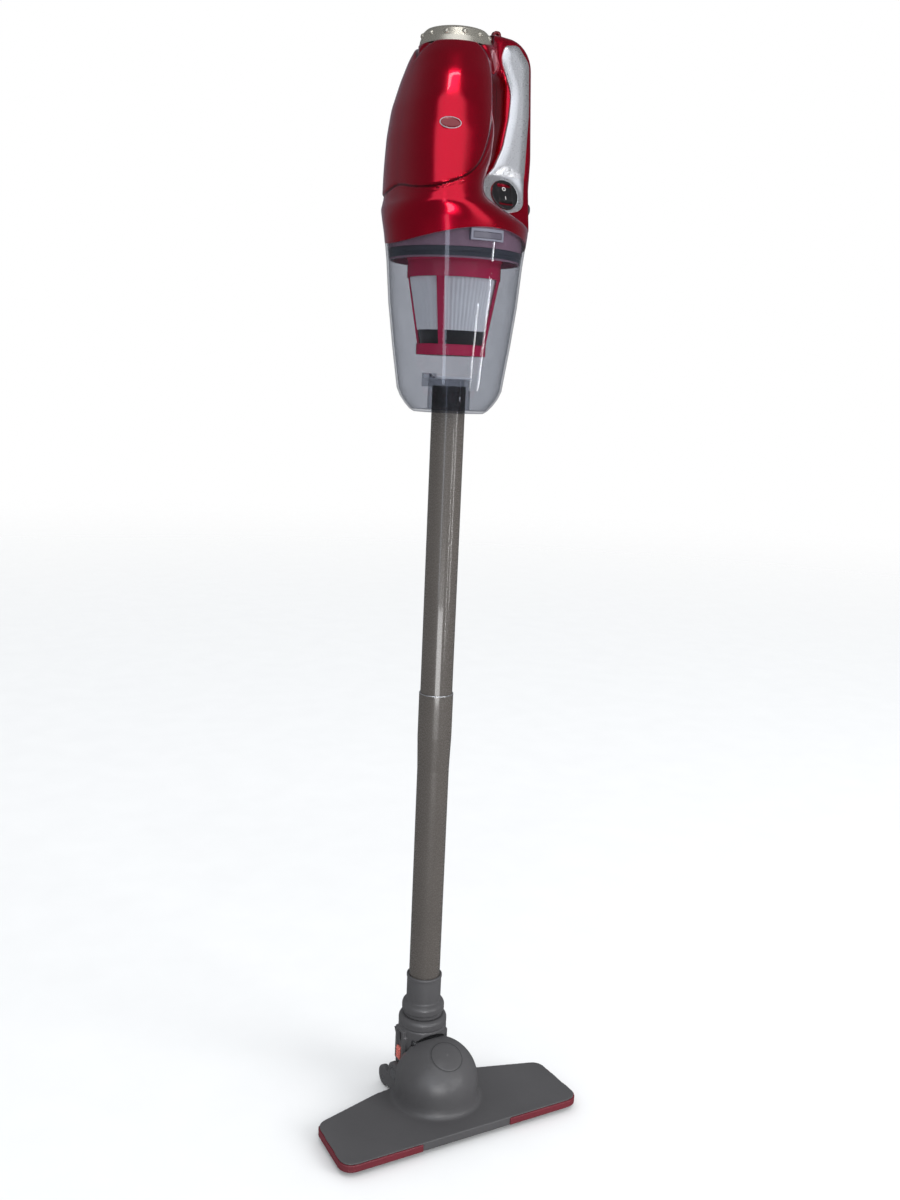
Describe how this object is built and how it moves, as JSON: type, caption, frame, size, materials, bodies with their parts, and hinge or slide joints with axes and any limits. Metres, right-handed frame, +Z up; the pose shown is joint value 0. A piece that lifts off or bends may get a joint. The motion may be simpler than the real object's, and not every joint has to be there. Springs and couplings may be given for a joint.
{
  "type": "upright vacuum cleaner",
  "caption": "Upright stick vacuum cleaner: a red handheld unit with a loop handle and clear dust cup on a two-piece wand, with a wide floor head on a tilting, swivelling neck.",
  "frame": {"origin": "on the floor, straight below the wand's axis; the sole plate's underside is 3 mm above it", "axes": "+Z up along the wand, -Y towards the floor head's front edge, +X towards the handle"},
  "size_m": [0.2726, 0.1733, 1.075],
  "materials": {
    "head_plastic": "satin warm dark grey",
    "sole_plastic": "matt dark grey",
    "bumper_rubber": "dark red rubber",
    "brush_bristle": "dense black bristle strip",
    "screw_steel": "zinc-plated screws",
    "axle_steel": "plain steel pin",
    "wheel_plastic": "matt grey wheel",
    "felt": "dark felt",
    "neck_plastic": "satin dark grey",
    "drum_plastic": "glossy black",
    "slider_plastic": "salmon red",
    "wand_tube": "glossy brown-grey tube",
    "clear_cup": "clear smoky blue-grey plastic",
    "flap_plastic": "pale translucent flap",
    "ring_plastic": "dark red-brown moulding",
    "seal_rubber": "dark rubber lip",
    "filter_plastic": "crimson moulding",
    "filter_fabric": "pale filter cloth",
    "filter_mesh": "dark inner filter",
    "housing_red": "candy metallic deep red, high gloss",
    "badge_red": "blank dark red badge",
    "inlay_silver": "satin silver",
    "switch_black": "black switch moulding",
    "gland_rubber": "black ribbed rubber",
    "cap_champagne": "satin champagne silver",
    "grille_black": "matt black grille",
    "foam": "open foam filter",
    "latch_clear": "smoky frame",
    "latch_dark": "dark button",
    "fan_metal": "pressed aluminium",
    "motor_steel": "zinc-plated can",
    "bearing_steel": "ground steel",
    "core_steel": "lacquered laminations",
    "winding": "copper windings on the rotor",
    "carbon": "carbon block",
    "mount_rubber": "soft motor mount",
    "wire": "insulated lead"
  },
  "bodies": {
    "head": {"head_shell": "head_plastic", "sole_plate": "sole_plastic", "bumper_left": "bumper_rubber", "bumper_right": "bumper_rubber", "brush_front": "brush_bristle", "brush_rear": "brush_bristle", "sole_screws": "screw_steel", "wheel_axles": "axle_steel", "pivot_pins": "axle_steel", "drum_seal": "felt"},
    "left_wheel": {"wheel_left": "wheel_plastic"},
    "right_wheel": {"wheel_right": "wheel_plastic"},
    "neck": {"neck_yoke": "neck_plastic", "neck_drum": "drum_plastic", "swivel_clip": "axle_steel"},
    "slider": {"suction_slider": "slider_plastic"},
    "swivel": {"swivel_collar": "neck_plastic"},
    "lower_wand": {"wand_lower": "wand_tube"},
    "upper_wand": {"wand_upper": "wand_tube"},
    "cup": {"dust_cup": "clear_cup", "flap_pin": "axle_steel"},
    "flap": {"inlet_flap": "flap_plastic"},
    "unit": {"base_ring": "ring_plastic", "cup_seal": "seal_rubber", "housing_front": "housing_red", "housing_rear": "housing_red", "housing_screws": "screw_steel", "handle_inlay_front": "inlay_silver", "handle_inlay_rear": "inlay_silver", "switch_bezel": "switch_black", "cord_gland": "gland_rubber", "exhaust_grille": "grille_black", "exhaust_foam": "foam", "hang_tab": "badge_red", "badge": "badge_red", "latch_frame": "latch_clear", "fan_cover": "fan_metal", "motor_can": "motor_steel", "motor_bearings": "bearing_steel", "stator_core": "core_steel", "carbon_brushes": "carbon", "motor_mount_lower": "mount_rubber", "motor_mount_upper": "mount_rubber", "wiring": "wire"},
    "filter": {"filter_frame": "filter_plastic", "filter_cloth": "filter_fabric", "filter_core": "filter_mesh", "filter_seal": "seal_rubber"},
    "rotor": {"motor_shaft": "bearing_steel", "rotor_core": "winding", "commutator": "winding", "impeller": "fan_metal"},
    "rocker": {"switch_rocker": "switch_black"},
    "latch": {"latch_button": "latch_dark"},
    "cap": {"exhaust_cap": "cap_champagne"}
  },
  "joints": [
    {"name": "neck_tilt", "type": "hinge", "parent": "head", "child": "neck", "pos_m": [0, 0, 0.026], "axis": [-1, 0, 0], "range_deg": [0, 70]},
    {"name": "neck_swivel", "type": "hinge", "parent": "neck", "child": "swivel", "pos_m": [0, 0, 0.0785], "axis": [0, 0, 1], "range_deg": [-90, 90]},
    {"name": "slider_slide", "type": "slide", "parent": "neck", "child": "slider", "axis": [0, 0, 1], "range_m": [0, 0.015]},
    {"name": "lower_wand_pull", "type": "slide", "parent": "swivel", "child": "lower_wand", "axis": [0, 0, 1], "range_m": [0, 0.026]},
    {"name": "upper_wand_pull", "type": "slide", "parent": "lower_wand", "child": "upper_wand", "axis": [0, 0, 1], "range_m": [0, 0.045]},
    {"name": "cup_pull", "type": "slide", "parent": "upper_wand", "child": "cup", "axis": [0, 0, 1], "range_m": [0, 0.025]},
    {"name": "flap_hinge", "type": "hinge", "parent": "cup", "child": "flap", "pos_m": [-0.0235, 0, 0.7574], "axis": [0, -1, 0], "range_deg": [0, 22]},
    {"name": "unit_lift", "type": "slide", "parent": "cup", "child": "unit", "axis": [0, 0, 1], "range_m": [0, 0.12]},
    {"name": "filter_pull", "type": "slide", "parent": "unit", "child": "filter", "axis": [0, 0, -1], "range_m": [0, 0.014]},
    {"name": "rotor_spin", "type": "hinge", "parent": "unit", "child": "rotor", "pos_m": [-0.022, 0, 0.95], "axis": [0, 0, 1], "continuous": true},
    {"name": "rocker_tilt", "type": "hinge", "parent": "unit", "child": "rocker", "pos_m": [0.0375, -0.01717, 0.92497], "axis": [1, 0, 0], "range_deg": [0, 16]},
    {"name": "latch_press", "type": "slide", "parent": "unit", "child": "latch", "axis": [0, 1, 0], "range_m": [0, 0.0025], "stiffness_N_per_m": 400},
    {"name": "cap_twist", "type": "hinge", "parent": "unit", "child": "cap", "pos_m": [-0.008, 0, 1.056], "axis": [0, 0, 1], "range_deg": [0, 30]},
    {"name": "left_wheel_spin", "type": "hinge", "parent": "head", "child": "left_wheel", "pos_m": [-0.0299, 0.023, 0.009], "axis": [1, 0, 0], "continuous": true},
    {"name": "right_wheel_spin", "type": "hinge", "parent": "head", "child": "right_wheel", "pos_m": [0.0299, 0.023, 0.009], "axis": [1, 0, 0], "continuous": true}
  ]
}
